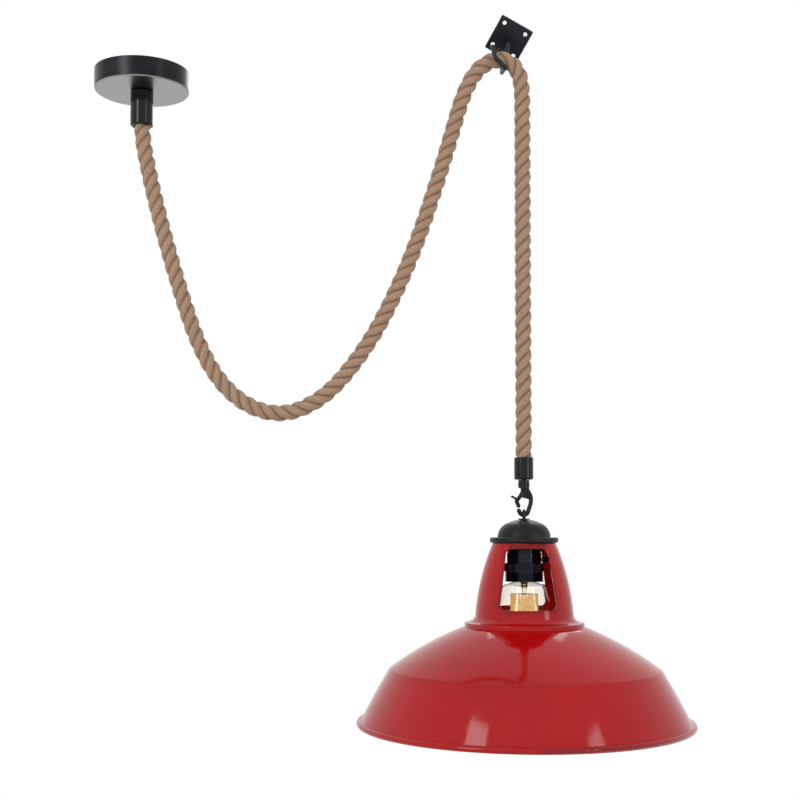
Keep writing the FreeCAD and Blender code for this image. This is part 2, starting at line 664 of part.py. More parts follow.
def snap_body():
    """Swivel barrel, head and claw of the snap hook, in one casting."""
    radius, length = size("barrelDiameter / 2"), size("barrelLength")
    ridge, head = size("barrelRidge"), size("headThick")
    barrel = Part.makeCylinder(radius, length)
    barrel = barrel.fuse(Part.makeCylinder(radius + ridge, 1.4, Vector(0, 0, 0.35 * length)))
    bore = size("studDiameter / 2 + runGap")
    barrel = drilled(barrel, Vector(0, 0, 0), Z_AXIS, 2 * bore, length)
    chamber = size("studHead / 2 + runGap")
    depth = size("studHeadHeight + 2 * runGap")
    floor = length - size("barrelTop") - depth
    barrel = drilled(barrel, Vector(0, 0, floor), Z_AXIS, 2 * chamber, depth)
    barrel = barrel.fuse(Part.makeCylinder(bore + 0.5, floor))
    half, low = size("clawHalf"), size("hookReach")
    block = flat_shape([
        (-3.4, 0), (5.0, 0), (1.13 * half, -0.24 * low), (1.24 * half, -0.38 * low),
        (0.74 * half, -0.43 * low), (0.2 * half, -0.39 * low), (-3.4, -0.33 * low)], head)
    slim = [edge for edge in block.Edges if abs(edge.tangentAt(edge.FirstParameter).y) > 0.9]
    block = block.makeFillet(0.8, slim[2:5])
    claw, path, radii = tube(claw_points(), size("clawBar"))
    nose = Part.makeSphere(size("clawBar") / 2, claw_points()[-1])
    shape = barrel.fuse([block, claw, nose]).removeSplitter()
    pivot, hub = gate_pivot(), size("gateHub + runGap")
    slot = size("gateThick") + 0.4
    space = Part.makeCylinder(hub, slot, pivot - Y_AXIS * (slot / 2), Y_AXIS)
    space = space.fuse(Part.makeBox(
        hub + 8, slot, 0.4 * low, Vector(pivot.x - 8, -slot / 2, pivot.z - 0.4 * low)))
    space = space.fuse(Part.makeBox(8, slot, hub, Vector(pivot.x - 8, -slot / 2, pivot.z)))
    shape = shape.cut(space)
    shape = drilled(shape, pivot - Y_AXIS * head, Y_AXIS, size("gatePinDiameter + 2 * fitGap"), 2 * head)
    body = free_shape("snap_body", shape)
    hang(body, BARREL_FOOT)
    print("snap hook radii", " ".join("%.1f" % radius for radius in radii))


def gate_pin():
    """Rivet that the gate turns on, with a low head at each end."""
    pivot, head = gate_pivot(), size("headThick")
    radius = size("gatePinDiameter / 2")
    pin = Part.makeCylinder(radius, head, pivot - Y_AXIS * (head / 2), Y_AXIS)
    for side in (-1, 1):
        face = pivot + Y_AXIS * (side * head / 2)
        pin = pin.fuse(Part.makeCylinder(radius * 1.5, 0.4, face, Y_AXIS * side))
    hang(free_shape("gate_pin", pin), BARREL_FOOT)


def snap_gate():
    """Sprung gate with its thumb lever; its tip closes over the claw's nose."""
    pivot, thick = gate_pivot(), size("gateThick")
    nose = claw_points()[-1]
    arm = size("gateWidth / 2")
    low = size("hookReach")
    tip = Vector(nose.x - 0.4, 0, nose.z + size("clawBar / 2 + 2 * runGap") + arm)
    knee = Vector(-size("clawHalf") - 0.2, 0, -0.5 * low)
    gate = bar_between(pivot, knee, arm, thick).fuse(bar_between(knee, tip, arm, thick))
    gate = gate.fuse(Part.makeCylinder(size("gateHub"), thick, pivot - Y_AXIS * (thick / 2), Y_AXIS))
    lever_end = Vector(-size("leverReach"), 0, -0.32 * low)
    lever_root = Vector(knee.x + 0.6, 0, -0.43 * low)
    gate = gate.fuse(bar_between(lever_root, lever_end, size("leverWidth") / 2, thick))
    gate = drilled(gate, pivot - Y_AXIS * thick, Y_AXIS, size("gatePinDiameter + 2 * fitGap"), 2 * thick)
    hang(free_shape("snap_gate", gate.removeSplitter()), BARREL_FOOT)


# ---------------------------------------------------------------- shade cap

EYE_MIDDLE = BARREL_FOOT + " - hookReach - (eyeInner - clawBar / 2 - runGap)"
CAP_TOP = EYE_MIDDLE + " - eyeInner - eyeCollarHeight"
NECK_TOP = CAP_TOP + " - domeHeight - brimHeight"


def cap_eye():
    """Eye that hangs in the claw, with a collar and a threaded shank."""
    bar, inner = size("eyeBar") / 2, size("eyeInner")
    ring = Part.makeTorus(inner + bar, bar, Vector(), Vector(1, 0, 0))
    foot = -inner - size("eyeCollarHeight")
    collar = Part.makeCylinder(size("eyeCollar") / 2, size("eyeCollarHeight"), Vector(0, 0, foot))
    length = size("eyeShankLength")
    shank = Part.makeCylinder(size("eyeShank") / 2, length, Vector(0, 0, foot - length))
    below = Part.makeBox(40, 40, 20, Vector(-20, -20, foot - 20))
    shape = ring.cut(below).fuse([collar, shank]).removeSplitter()
    hang(free_shape("cap_eye", shape), EYE_MIDDLE)


def cap_dome():
    """Spun cap over the neck, with a thick rounded brim."""
    radius, wall, high = "domeDiameter / 2", "domeWall", "domeHeight"
    hole, brim, foot = "eyeShank / 2 + fitGap", "brimDiameter / 2", "-domeHeight - brimHeight"
    crown, flank = "domeDiameter * 0.36", "domeDiameter * 0.85"
    body = turned("cap_dome", [
        (hole, "0"), ("eyeCollar / 2", "0", "-(%s)" % flank),
        (crown, "-%s * 0.27" % high, "-(%s)" % "domeDiameter * 0.3"),
        (radius, "-" + high), (brim + " - 1.6", "-" + high, "-1.6"),
        (brim, "-%s - 1.6" % high), (brim, foot + " + 1.6", "-1.6"), (brim + " - 1.6", foot),
        (radius + " - " + wall, foot), (radius + " - " + wall, "-" + high, "%s * 0.3" % "domeDiameter"),
        (crown + " - " + wall, "-%s * 0.27 - %s" % (high, wall)),
        ("nutFlats * 0.64", "-%s * 1.3" % wall), (hole, "-%s * 1.3" % wall)])
    hang(body, CAP_TOP)


def cap_inside():
    """Coupler under the cap's top, nipple through the neck's top, and the nut below it."""
    top = "-domeWall * 1.3"
    coupler = hexagon("cap_coupler", "nutFlats", "eyeShank + 2 * fitGap", top, "couplerHeight * 0.5")
    hang(coupler, CAP_TOP)
    lower = hexagon("cap_coupler_foot", "nutFlats", "nippleDiameter + 2 * fitGap",
                    top + " - couplerHeight * 0.5", "couplerHeight * 0.5")
    hang(lower, CAP_TOP)
    both = doc.addObject("Part::Fuse", "coupler_fuse")
    both.Base, both.Tool = coupler, lower
    for name in ("cap_coupler", "cap_coupler_foot"):
        nodes.pop(name).Label = name + "_half"
    both.Label = "cap_coupler"
    nodes["cap_coupler"] = both
    start = "domeHeight + brimHeight %s - couplerHeight * 0.5 - 0.2" % top
    end = "-holderDrop - 5"
    nipple = turned("cap_nipple", [("nippleDiameter / 2", start), ("nippleDiameter / 2", end),
                                   ("nippleBore / 2", end), ("nippleBore / 2", start)])
    hang(nipple, NECK_TOP)
    nut = hexagon("shade_nut", "nutFlats", "nippleDiameter + 2 * fitGap", "-shadeWall", "nutHeight")
    hang(nut, NECK_TOP)


# ---------------------------------------------------------------- shade

def shade_shell():
    """Spun steel shade: windowed neck, stepped shoulder, skirt and rolled rim."""
    wall, neck, foot = "shadeWall", "neckTop / 2", "neckFoot / 2"
    ledge, step = "ledgeDiameter / 2", "stepDiameter / 2"
    crease, rim, bead = "creaseDiameter / 2", "rimDiameter / 2", "beadDiameter / 2"
    hole = "nippleDiameter / 2 + fitGap"
    z_ledge = "-neckHeight - neckFillet"
    z_step = z_ledge + " - stepHeight"
    z_crease = z_step + " - shoulderHeight"
    z_rim = z_crease + " - skirtHeight"
    lip = "shadeWall * 1.15"
    roll = rim + " + beadDiameter * 0.35"
    body = turned("shade_shell", [
        (hole, "0"), (neck + " - 1.2", "0", "-1.2"), (neck, "-1.2", "-neckHeight * 3.2"),
        (foot, "-neckHeight", "(ledgeDiameter - neckFoot) / 2 * 1.1"),
        (ledge + " - 1", z_ledge, "-1.2"), (ledge, z_ledge + " - 1"), (ledge, z_step + " + 2"),
        (step, z_step, "-shoulderRadius"), (crease, z_crease, "-skirtRadius"),
        (rim, z_rim), (roll, z_rim, "-(%s)" % bead),
        ("%s + %s" % (roll, bead), "%s - %s" % (z_rim, bead), "-(%s)" % bead),
        (roll, z_rim + " - beadDiameter", "-(%s)" % bead),
        ("%s - %s" % (roll, bead), "%s - %s" % (z_rim, bead)),
        (rim + " - " + lip, z_rim + " + 1", "skirtRadius"),
        (crease + " - " + lip, z_crease + " - 1.3", "shoulderRadius"),
        (step + " - 1", z_step + " - " + lip), (ledge + " - " + wall, z_step + " + 0.8"),
        (ledge + " - " + wall, z_ledge + " - 1.6"),
        (foot + " - " + wall + " * 0.9", "-neckHeight - 2.6", "neckHeight * 3.2"),
        (neck + " - " + wall, "-1.2 - " + wall), (neck + " - " + wall, "-" + wall), (hole, "-" + wall)])
    neck_windows(body)
    hang(body, NECK_TOP)


def neck_windows(body):
    """Two windows, front and back, with rounded corners and leaning sides."""
    top, low = "-windowDrop", "-windowDrop - windowHeight"
    lean = "(windowFoot - windowTop) / 2 / windowHeight * windowCorner"
    edge = "windowCorner"
    arc = "windowCorner * 1.12"
    wide, narrow = "windowFoot / 2", "windowTop / 2"
    window = [
        ("-(%s) + %s" % (narrow, edge), top), ("-(%s) - %s" % (narrow, lean), top + " - " + edge),
        ("-(%s) + %s" % (wide, lean), low + " + " + edge), ("-(%s) + %s" % (wide, edge), low),
        ("%s - %s" % (wide, edge), low), ("%s - %s" % (wide, lean), low + " + " + edge),
        ("%s + %s" % (narrow, lean), top + " - " + edge), ("%s - %s" % (narrow, edge), top)]
    window[0] += (arc,)
    window[2] += (arc,)
    window[4] += (arc,)
    window[6] += (arc,)
    pocket(body, "XZ_Plane", "0", [window], "neckFoot * 1.3", both=True)


# ---------------------------------------------------------------- lampholder

HOLDER_TOP = NECK_TOP + " - holderDrop"
RING_TOP = HOLDER_TOP + " - holderHeight"
SKIRT_TOP = RING_TOP + " - ringHeight"


def holder_cap():
    """Upper shell of the lampholder, screwed on the nipple, with a hole for the key."""
    outer, wall, bore = "holderDiameter / 2", "holderWall", "nippleDiameter / 2 + fitGap"
    inner, foot = "holderDiameter / 2 - holderWall", "-holderHeight"
    body = turned("holder_cap", [
        (bore, "0"), (outer + " - 3", "0", "-3"), (outer, "-3"), (outer, "-4.6"),
        (outer + " - 0.7", "-5.0"), (outer + " - 0.7", "-5.8"), (outer, "-6.2"),
        (outer, foot), (inner, foot), (inner, "-5"), (bore, "-5")])
    half = "(keyDiameter / 2 + fitGap)"
    centre = "-holderHeight + keyHeight / 2 + 0.4"
    hole = [("-" + half, centre, half + " + 0.0001"), (half, centre, half + " + 0.0001")]
    pocket(body, "YZ_Plane", "0", [hole], "holderDiameter", reverse=True)
    hang(body, HOLDER_TOP)


def holder_ring():
    """Knurled ring between the cap and the threaded skirt."""
    outer, inner = "ringDiameter / 2", "holderDiameter / 2 - holderWall"
    body = turned("holder_ring", [
        (inner, "0"), (outer + " - 0.6", "0"), (outer, "-0.6"), (outer, "-ringHeight + 0.6"),
        (outer + " - 0.6", "-ringHeight"), (inner, "-ringHeight")])
    doc.recompute()
    groove = "knurlDepth"
    sketch = new_sketch(body, "XY_Plane", "-1.2")
    draw(sketch, [(outer + " - " + groove, "0"), (outer + " + 0.5", "-1.1"), (outer + " + 0.5", "1.1")])
    cut = body.newObject("PartDesign::Pocket", "holder_ring_flute")
    cut.Profile = sketch
    cut.setExpression("Length", bound("ringHeight - 2.4"))
    doc.recompute()
    pattern = body.newObject("PartDesign::PolarPattern", "holder_ring_flutes")
    pattern.Originals = [cut]
    pattern.Axis = (sketch, ["N_Axis"])
    pattern.Angle = 360
    pattern.setExpression("Occurrences", bound("knurlCount"))
    body.Tip = pattern
    hang(body, RING_TOP)


def holder_skirt():
    """Threaded lower part of the lampholder, with its thread as rings."""
    outer, inner = "skirtDiameter / 2", "sleeveBore / 2 + sleeveWall + 4.2"
    length = "skirtLength"
    outline = [(inner, "0"), (outer + " - threadDepth", "0")]
    rings = int(size("skirtLength") // size("threadPitch"))
    for i in range(rings):
        start = "-threadPitch * %d" % i
        outline += [(outer + " - threadDepth", start + " - threadPitch * 0.25"),
                    (outer, start + " - threadPitch * 0.5"), (outer, start + " - threadPitch * 0.7"),
                    (outer + " - threadDepth", start + " - threadPitch * 0.95")]
    outline += [(outer + " - threadDepth", "-" + length), (inner, "-" + length)]
    hang(turned("holder_skirt", outline), SKIRT_TOP)


def holder_inside():
    """Ceramic insert, brass screw shell and centre contact."""
    radius = "holderDiameter / 2 - holderWall - fitGap"
    hang(turned("holder_insert", [
        ("0", "-holderHeight - 1.5"), ("0", "-holderHeight + 7.2"), (radius, "-holderHeight + 7.2"),
        (radius, "-holderHeight + 6.8"), (radius, "-holderHeight - 1.5")]), HOLDER_TOP)
    bore, wall = "sleeveBore / 2", "sleeveWall"
    hang(turned("holder_sleeve", [
        (bore, "0"), (bore + " + " + wall, "0"), (bore + " + " + wall, "-skirtLength - 5"),
        (bore, "-skirtLength - 5")]), RING_TOP + " - 1.5")
    contact = primitive("Box", "holder_contact", Length="7", Width="5", Height="0.8")
    place(contact, "pendantReach - 3.5", "-2.5", ROPE_END + " + " + RING_TOP + " - 1.5 - 0.8")
    nodes["holder_contact"] = contact


def switch_key():
    """Turn key at the side of the lampholder: shaft and tapered paddle."""
    middle = RING_TOP + " + keyHeight / 2 + 0.4"
    start = "holderDiameter / 2 - holderWall"
    shaft = primitive("Cylinder", "key_shaft", 90, Y_AXIS, Radius="keyDiameter / 2",
                      Height="holderWall + 0.6")
    place(shaft, "pendantReach + " + start, "0", ROPE_END + " + " + middle)
    nodes["key_shaft"] = shaft
    near, far = "holderDiameter / 2 + 0.6", "keyReach"
    half, tip = "keyHeight / 2", "keyHeight * 0.3"
    knob = padded("key_knob", "XZ_Plane", [
        (near, "-(%s)" % half), (far + " - 1", "-(%s)" % tip, "(%s) * 1.2" % tip),
        (far + " - 1", tip), (near, half)], "keyThick")
    hang(knob, middle)


# ---------------------------------------------------------------- lamp bulb

BULB_TOP = RING_TOP + " - 1.5 - 0.8 - runGap"


def bulb_cap():
    """Screw cap of the bulb with its insulator and centre contact."""
    outer, wall = "capDiameter / 2", "0.5"
    shoulder = "capDiameter * 0.32"
    outline = [(shoulder, "-3"), (outer + " - 1", "-5")]
    for i in range(3):
        start = "-5.6 - 3.2 * %d" % i
        outline += [(outer, start + " - 1"), (outer, start + " - 1.6"), (outer + " - 1", start + " - 2.6")]
    outline += [(outer + " - 1", "-capLength"), (outer + " - 1 - " + wall, "-capLength"),
                (outer + " - 1 - " + wall, "-5.6"), (shoulder, "-3.6")]
    hang(turned("bulb_cap", outline), BULB_TOP)
    hang(turned("bulb_insulator", [
        ("capDiameter * 0.18", "-1.1"), (shoulder + " - fitGap", "-2.8"),
        (shoulder + " - fitGap", "-4.2"), ("capDiameter * 0.18", "-4.2")]), BULB_TOP)
    hang(turned("bulb_contact", [
        ("0", "0"), ("capDiameter * 0.12", "-0.3"), ("capDiameter * 0.18 - fitGap", "-1"),
        ("capDiameter * 0.18 - fitGap", "-4.2"), ("0", "-4.2")]), BULB_TOP)


def bulb_glass():
    """Clear glass envelope, pear-shaped, hollow."""
    neck, edge = "capDiameter / 2 - 1.7", "shoulderDiameter / 2"
    wide, wall, end = "glassDiameter / 2", "glassWall", "-8 - glassLength"
    z_edge = "-capLength - 7.5"
    z_wide = "-8 - glassLength * 0.62"
    hang(turned("bulb_glass", [
        (neck, "-8"), (neck, "-capLength - 0.4"), (edge + " - 3", z_edge + " + 4.6", "-5.2"),
        (edge, z_edge, "-glassLength * 1.7"), (wide, z_wide, "-glassDiameter * 0.66"),
        ("4", end), ("0", end), ("0", end + " + " + wall), ("3.4", end + " + " + wall, "glassDiameter * 0.66"),
        (wide + " - " + wall, z_wide, "glassLength * 1.7"), (edge + " - " + wall, z_edge, "4.6"),
        (edge + " - 3.6", z_edge + " + 3.9"), (neck + " - " + wall, "-capLength - 1"),
        (neck + " - " + wall, "-8")]), BULB_TOP)


CAGE_TOP = "-capLength - 13"
CAGE_FOOT = CAGE_TOP + " - cageHeight"


def bulb_stem():
    """Glass mount in the middle of the bulb."""
    rod, flare = "2.2", "capDiameter / 2 - 3.4"
    hang(turned("bulb_stem", [
        ("0", "-8.4"), (flare, "-8.4"), (flare, "-10.4"), ("4.2", "-capLength - 1"),
        (rod, CAGE_TOP + " + 4"), (rod, CAGE_FOOT), ("0", CAGE_FOOT)]), BULB_TOP)


def cage_corners(top):
    """Corner points of the filament at its top or its foot."""
    count, radius = int(size("cageLegs")), size("cageRadius")
    height = size(CAGE_TOP if top else CAGE_FOOT)
    angles = [2 * math.pi * (i + 0.5) / count for i in range(count)]
    return [Vector(radius * math.cos(a), radius * math.sin(a), height) for a in angles]


def rods(pairs, radius):
    """Round rods with ball ends, fused."""
    parts = []
    for start, end in pairs:
        along = end - start
        parts.append(Part.makeCylinder(radius, along.Length, start, along))
        parts += [Part.makeSphere(radius * 1.05, spot) for spot in (start, end)]
    return parts[0].fuse(parts[1:])


def bulb_filament():
    """One wire that zigzags round the cage, with its support wires and leads."""
    tops, feet = cage_corners(True), cage_corners(False)
    count = len(tops)
    chain = []
    for i in range(count):
        chain.append((tops[i], feet[i]))
        if i < count - 1:
            level = feet if i % 2 == 0 else tops
            chain.append((level[i], level[i + 1]))
    wire = size("filamentWire") / 2
    hang(free_shape("bulb_filament", rods(chain, wire)), BULB_TOP)
    reach = size("cageRadius - filamentWire / 2 - supportWire / 2 - fitGap")
    for name, spots in (("bulb_support_top", tops), ("bulb_support_foot", feet)):
        pairs = []
        for spot in spots[::2]:
            out = Vector(spot.x, spot.y, 0).normalize()
            root = out * (2.2 + size("supportWire") / 2 + 0.05) + Z_AXIS * spot.z
            pairs.append((root, out * reach + Z_AXIS * spot.z))
        shape = rods(pairs, size("supportWire") / 2)
        collar = Part.makeCylinder(3.2, 1.2, Z_AXIS * (spots[0].z - 0.6))
        collar = collar.cut(Part.makeCylinder(2.25, 1.2, Z_AXIS * (spots[0].z - 0.6)))
        hang(free_shape(name, shape.fuse(collar)), BULB_TOP)


# ---------------------------------------------------------------- build

def check_and_write():
    """Refuses failed objects and empty or invalid shapes, then writes the pieces."""
    doc.recompute()
    for item in doc.Objects:
        if "Invalid" in item.State or "Error" in item.State:
            raise RuntimeError("%s: %s" % (item.Name, item.State))
    os.makedirs("parts", exist_ok=True)
    for name, piece in nodes.items():
        shape = piece.Shape
        if shape.isNull() or not shape.isValid() or shape.Volume <= 0:
            raise RuntimeError(name + ": bad shape")
        shape.exportStep("parts/%s.step" % name)
    print(len(nodes), "pieces")


for build in (rose_bracket, rose_cup, rose_fixings, stem, terminals, hook_plate, plate_hook,
              rope_swag, rope_drop, ferrule, swivel_stud, snap_body, gate_pin, snap_gate,
              cap_eye, cap_dome, cap_inside, shade_shell, holder_cap, holder_ring, holder_skirt,
              holder_inside, switch_key, bulb_cap, bulb_glass, bulb_stem, bulb_filament):
    build()
check_and_write()
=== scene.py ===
"""Rise and fall pendant: a red enamelled shade on a three-strand rope over a ceiling hook."""
import math

import bpy
import numpy as np
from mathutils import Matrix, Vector


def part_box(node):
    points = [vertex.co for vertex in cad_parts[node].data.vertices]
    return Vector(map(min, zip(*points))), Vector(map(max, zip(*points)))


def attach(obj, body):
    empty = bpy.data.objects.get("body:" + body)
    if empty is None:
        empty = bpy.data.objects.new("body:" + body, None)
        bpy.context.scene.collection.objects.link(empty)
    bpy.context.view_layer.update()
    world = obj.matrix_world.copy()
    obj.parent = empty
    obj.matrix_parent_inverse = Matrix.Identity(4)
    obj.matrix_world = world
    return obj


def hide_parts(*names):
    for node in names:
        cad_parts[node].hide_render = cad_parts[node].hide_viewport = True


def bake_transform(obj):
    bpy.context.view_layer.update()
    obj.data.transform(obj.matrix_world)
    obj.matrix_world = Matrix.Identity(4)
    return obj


bl_info = {
    "name": "Rise and Fall Pendant",
    "version": (1, 0, 0),
    "blender": (4, 5, 0),
    "location": "View3D > Sidebar > Pendant",
    "description": "Dresses the packed pendant: its rope, enamel, metal, glass and stage",
    "category": "Object",
}

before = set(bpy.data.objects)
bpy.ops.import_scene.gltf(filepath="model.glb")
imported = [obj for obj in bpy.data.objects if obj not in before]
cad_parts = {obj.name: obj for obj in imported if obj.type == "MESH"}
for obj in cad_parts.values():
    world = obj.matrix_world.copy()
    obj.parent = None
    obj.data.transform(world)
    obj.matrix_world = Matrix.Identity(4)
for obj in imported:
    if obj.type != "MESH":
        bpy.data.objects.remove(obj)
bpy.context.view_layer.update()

# The rope's route from the sleeve to its straight drop, and the drop, in metres.
SWAG_ROUTE = [
    (0, -0.031), (0, -0.067), (0.007, -0.103), (0.017, -0.146), (0.0303, -0.195),
    (0.0455, -0.245), (0.061, -0.29), (0.08, -0.326), (0.102, -0.35), (0.127, -0.364),
    (0.153, -0.3675), (0.179, -0.3595), (0.205, -0.341), (0.23, -0.311), (0.2535, -0.275),
    (0.276, -0.229), (0.294, -0.185), (0.309, -0.141), (0.322, -0.1), (0.333, -0.063),
    (0.3425, -0.029), (0.354, -0.004), (0.368, 0.0105), (0.387, 0.0155), (0.402, 0.005),
    (0.4075, -0.014), (0.4075, -0.038),
]
DROP_ROUTE = [(0.4075, -0.038), (0.4075, -0.143), (0.4075, -0.4312)]
SLEEVE_MOUTH = (0, 0, -0.0585)
FERRULE_MOUTH = (0.4075, 0, -0.4135)

ROPE_SIDES = 96         # points round the rope
ROPE_STEP = 0.0016      # length of one ring of the rope, in metres
FIBRE_STEP = 0.002      # spacing of the places where a fibre may start
FIBRE_WIDTH = 0.00007   # half the width of a fibre at its root
FIBRE_MARGIN = 0.008    # bare rope left beside a fitting
WINDING_RUNS = 48       # upright runs of the filament's wire
WINDING_RADIUS = 0.0007
FLOOR_HEIGHT, FLOOR_HALF = -1.3, 6.0


class PendantSettings(bpy.types.PropertyGroup):
    """Sizes and colours that can be changed."""

    rope_diameter: bpy.props.FloatProperty(
        name="Rope diameter", description="Outside of the lay", default=0.0176, unit="LENGTH")
    rope_pitch: bpy.props.FloatProperty(
        name="Lay length", description="Rope length of one turn of a strand", default=0.041,
        unit="LENGTH")
    strand_share: bpy.props.FloatProperty(
        name="Strand radius", description="Strand radius as a share of the rope's", default=0.62,
        min=0.5, max=0.7)
    yarn_count: bpy.props.IntProperty(
        name="Yarns", description="Yarns seen round the rope", default=16)
    yarn_depth: bpy.props.FloatProperty(
        name="Yarn depth", description="Depth between yarns", default=0.0004, unit="LENGTH")
    fibre_count: bpy.props.IntProperty(
        name="Fibres per metre", description="Loose fibres that stand off the rope", default=1500)
    fibre_length: bpy.props.FloatProperty(
        name="Fibre length", description="Mean length of a loose fibre", default=0.009,
        unit="LENGTH")
    jute: bpy.props.FloatVectorProperty(
        name="Jute", description="Crown of the strands", subtype="COLOR",
        default=(0.5, 0.325, 0.215))
    # Painted shade: the colour the rope darkens to between its strands, where shade falls.
    jute_painted_shade: bpy.props.FloatVectorProperty(
        name="Jute in the grooves", description="Colour between strands", subtype="COLOR",
        default=(0.2, 0.105, 0.058))
    enamel: bpy.props.FloatVectorProperty(
        name="Enamel", description="Shade, inside and out", subtype="COLOR",
        default=(0.5, 0.0042, 0.0055))
    gloss_black: bpy.props.FloatVectorProperty(
        name="Gloss black", description="Ferrule, snap hook and the cap's eye", subtype="COLOR",
        default=(0.005, 0.0075, 0.0115))
    matt_black: bpy.props.FloatVectorProperty(
        name="Matt black", description="Cap over the shade", subtype="COLOR",
        default=(0.006, 0.0085, 0.0068))
    rose_metal: bpy.props.FloatVectorProperty(
        name="Black nickel", description="Side of the ceiling rose", subtype="COLOR",
        default=(0.024, 0.024, 0.026))


# ---------------------------------------------------------------- surfaces

def spline_line(route):
    """Points of the order 3 NURBS spline that the route controls, in the plane Y = 0."""
    curve = bpy.data.curves.new("route", "CURVE")
    curve.dimensions = "3D"
    curve.resolution_u = 32
    spline = curve.splines.new("NURBS")
    spline.points.add(len(route) - 1)
    flat = np.array([(x, 0, z, 1) for x, z in route], float)
    spline.points.foreach_set("co", flat.ravel())
    spline.order_u = 3
    spline.use_endpoint_u = True
    holder = bpy.data.objects.new("route", curve)
    bpy.context.scene.collection.objects.link(holder)
    bpy.context.view_layer.update()
    mesh = bpy.data.meshes.new_from_object(holder)
    line = np.zeros(len(mesh.vertices) * 3)
    mesh.vertices.foreach_get("co", line)
    bpy.data.objects.remove(holder)
    bpy.data.meshes.remove(mesh)
    return line.reshape(-1, 3)


def even_line(line, step):
    """The line cut into equal lengths near step: its points, their distances and directions."""
    spans = np.linalg.norm(np.diff(line, axis=0), axis=1)
    keep = np.concatenate([[True], spans > 1e-9])
    line = line[keep]
    along = np.concatenate([[0], np.cumsum(np.linalg.norm(np.diff(line, axis=0), axis=1))])
    count = int(round(along[-1] / step)) + 1
    reach = np.linspace(0, along[-1], count)
    even = np.stack([np.interp(reach, along, line[:, k]) for k in range(3)], axis=1)
    heading = np.gradient(even, axis=0)
    heading /= np.linalg.norm(heading, axis=1)[:, None]
    return even, reach, heading


def mesh_piece(name, points, faces, smooth=True):
    """A mesh object at the origin from arrays of points and faces."""
    mesh = bpy.data.meshes.new(name)
    mesh.from_pydata(points, [], faces)
    mesh.polygons.foreach_set("use_smooth", np.full(len(mesh.polygons), smooth))
    mesh.validate()
    piece = bpy.data.objects.new(name, mesh)
    bpy.context.scene.collection.objects.link(piece)
    return piece


def rope_skin(name, line, start, settings):
    """Three round strands laid round a line.

    Round the rope, the outside is the far side of the nearest of three circles of radius a whose
    middles lie b from the line: r = b cos d + sqrt(a^2 - b^2 sin^2 d), with d the angle from that
    strand. The strands turn once in each lay length, rising to the right. Yarns are a rectified
    sine round the rope that turns at a rate of its own and wanders a little along it.
    """
    around = ROPE_SIDES
    even, reach, heading = even_line(line, ROPE_STEP)
    turn = np.linspace(0, 2 * math.pi, around, endpoint=False)[None, :]
    twist = (2 * math.pi * (reach + start) / settings.rope_pitch)[:, None]
    radius = settings.rope_diameter / 2
    strand = settings.strand_share * radius
    offset = radius - strand
    third = 2 * math.pi / 3
    away = np.mod(turn - twist, third) - third / 2
    lobe = offset * np.cos(away) + np.sqrt(strand ** 2 - (offset * np.sin(away)) ** 2)
    wander = 0.35 * np.sin(2 * math.pi * (reach + start) / 0.067)[:, None]
    yarn = np.abs(np.sin(settings.yarn_count / 2 * turn + wander + 0.6 * twist))
    height = lobe - settings.yarn_depth * (1 - yarn)
    low = offset * 0.5 + math.sqrt(strand ** 2 - 0.75 * offset ** 2)
    # How far into the groove between strands each point lies; it sets the painted shade there.
    groove_shade = np.clip((radius - lobe) / (radius - low), 0, 1)
    front = np.array([0.0, 1.0, 0.0])
    side = np.cross(front, heading)
    ring = np.cos(turn)[..., None] * side[:, None, :] + np.sin(turn)[..., None] * front
    points = even[:, None, :] + height[..., None] * ring
    rings = len(even)
    i, j = np.meshgrid(np.arange(rings - 1), np.arange(around), indexing="ij")
    after = (j + 1) % around
    quads = np.stack([i * around + j, i * around + after,
                      (i + 1) * around + after, (i + 1) * around + j], axis=-1).reshape(-1, 4)
    first, last = rings * around, rings * around + 1
    k = np.arange(around)
    near = np.stack([np.full(around, first), (k + 1) % around, k], axis=1)
    far_row = (rings - 1) * around
    far = np.stack([np.full(around, last), far_row + k, far_row + (k + 1) % around], axis=1)
    body = np.concatenate([points.reshape(-1, 3), even[:1], even[-1:]])
    piece = mesh_piece(name, body, quads.tolist() + near.tolist() + far.tolist())
    depth = piece.data.attributes.new("groove_shade", "FLOAT", "POINT")
    depth.data.foreach_set("value", np.concatenate([groove_shade.ravel(), [1, 1]]).astype(np.float32))
    across = np.stack([j, j + 1, j + 1, j], axis=-1).reshape(-1) / around
    down = np.stack([reach[i], reach[i], reach[i + 1], reach[i + 1]], axis=-1).reshape(-1) + start
    caps = np.zeros((2 * around * 3, 2))
    table = np.concatenate([np.stack([across, down], axis=1), caps])
    piece.data.uv_layers.new(name="lay").data.foreach_set("uv", table.astype(np.float32).ravel())
    return piece, even, reach


